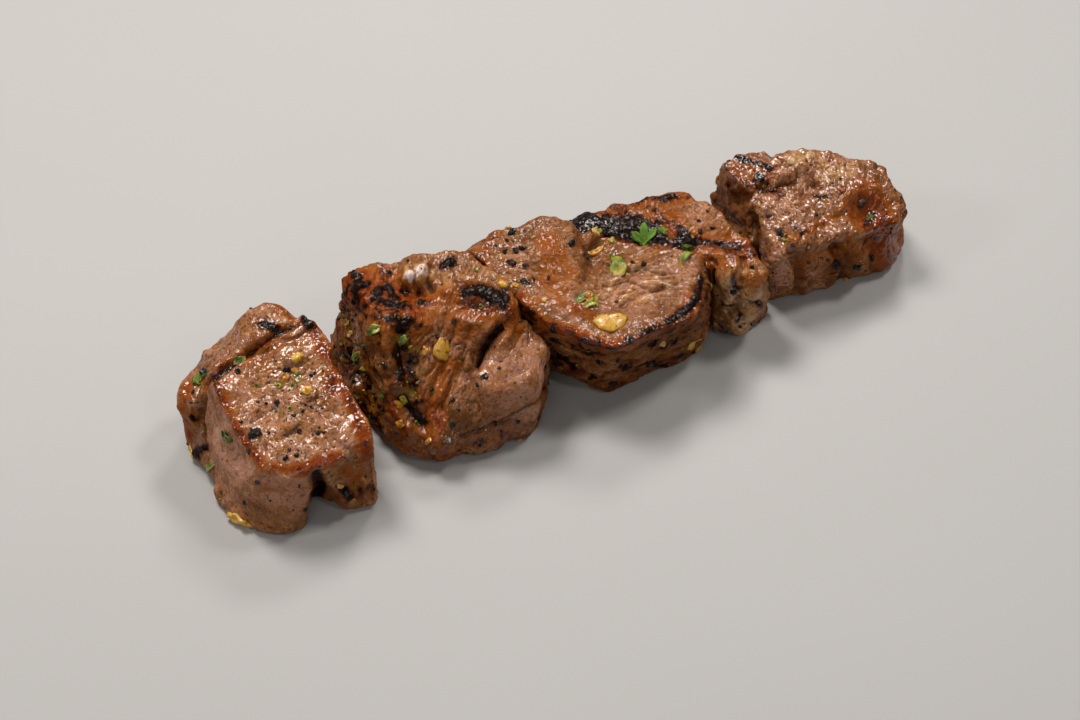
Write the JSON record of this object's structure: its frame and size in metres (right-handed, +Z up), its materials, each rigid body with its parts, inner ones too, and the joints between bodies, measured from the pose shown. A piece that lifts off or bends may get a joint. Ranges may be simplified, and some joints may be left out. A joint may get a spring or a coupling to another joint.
{
  "type": "beef kebab",
  "caption": "Row of grilled, marinated beef chunks pressed end to end as on a kebab, with pepper, herb and garlic crust, resting flat.",
  "frame": {"origin": "middle of the row's box, on the ground it rests on", "axes": "+X along the row, +Z up"},
  "size_m": [0.1806, 0.0468, 0.0297],
  "materials": {
    "grilled_beef": "moist, glossy, browned and charred along the edges",
    "parsley": "satin"
  },
  "bodies": {
    "root": {"chunk_1": "grilled_beef", "chunk_2": "grilled_beef", "chunk_3": "grilled_beef", "chunk_4": "grilled_beef", "chunk_5": "grilled_beef", "parsley_leaf": "parsley"}
  },
  "joints": []
}
